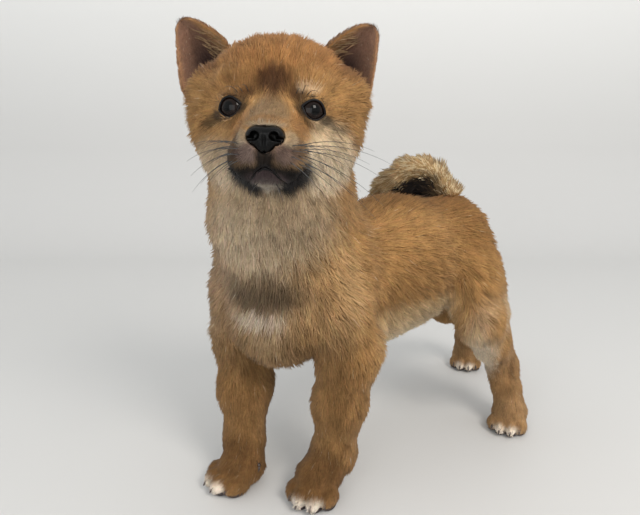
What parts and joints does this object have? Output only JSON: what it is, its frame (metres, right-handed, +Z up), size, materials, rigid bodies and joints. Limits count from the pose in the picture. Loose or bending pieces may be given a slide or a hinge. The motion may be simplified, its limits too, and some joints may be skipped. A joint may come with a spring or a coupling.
{
  "type": "shiba inu puppy",
  "caption": "Standing shiba inu puppy with pricked ears, a tail curled over its back and its head turned to its left.",
  "frame": {"origin": "on the floor, under the middle of the bounding box", "axes": "+Z up, the trunk runs along Y with the chest toward -Y, +X to the animal's left"},
  "size_m": [0.1488, 0.3314, 0.3011],
  "materials": {
    "coat": "dense red short coat over pale down",
    "mask_coat": "short dark velvety coat of the muzzle",
    "paw_coat": "short pale coat of the feet",
    "ear": "thin velvety ear with sparse pale hair inside",
    "eye": "wet, dark brown",
    "nose": "moist black pebbled skin",
    "claw": "dark horn"
  },
  "bodies": {
    "root": {"head": "coat", "lower_jaw": "mask_coat", "nose": "nose", "neck": "coat", "eye_left": "eye", "ear_left": "ear", "eye_right": "eye", "ear_right": "ear", "front_left_upper": "coat", "front_left_lower": "coat", "front_left_claw_1": "claw", "front_left_claw_2": "claw", "front_left_claw_3": "claw", "front_left_claw_4": "claw", "front_left_paw": "paw_coat", "front_right_upper": "coat", "front_right_lower": "coat", "front_right_claw_1": "claw", "front_right_claw_2": "claw", "front_right_claw_3": "claw", "front_right_claw_4": "claw", "front_right_paw": "paw_coat", "hind_left_upper": "coat", "hind_left_lower": "coat", "hind_left_claw_1": "claw", "hind_left_claw_2": "claw", "hind_left_claw_3": "claw", "hind_left_claw_4": "claw", "hind_left_paw": "paw_coat", "hind_right_upper": "coat", "hind_right_lower": "coat", "hind_right_claw_1": "claw", "hind_right_claw_2": "claw", "hind_right_claw_3": "claw", "hind_right_claw_4": "claw", "hind_right_paw": "paw_coat", "torso": "coat", "tail_base": "coat", "tail_middle": "coat", "tail_tip": "coat"}
  },
  "joints": []
}
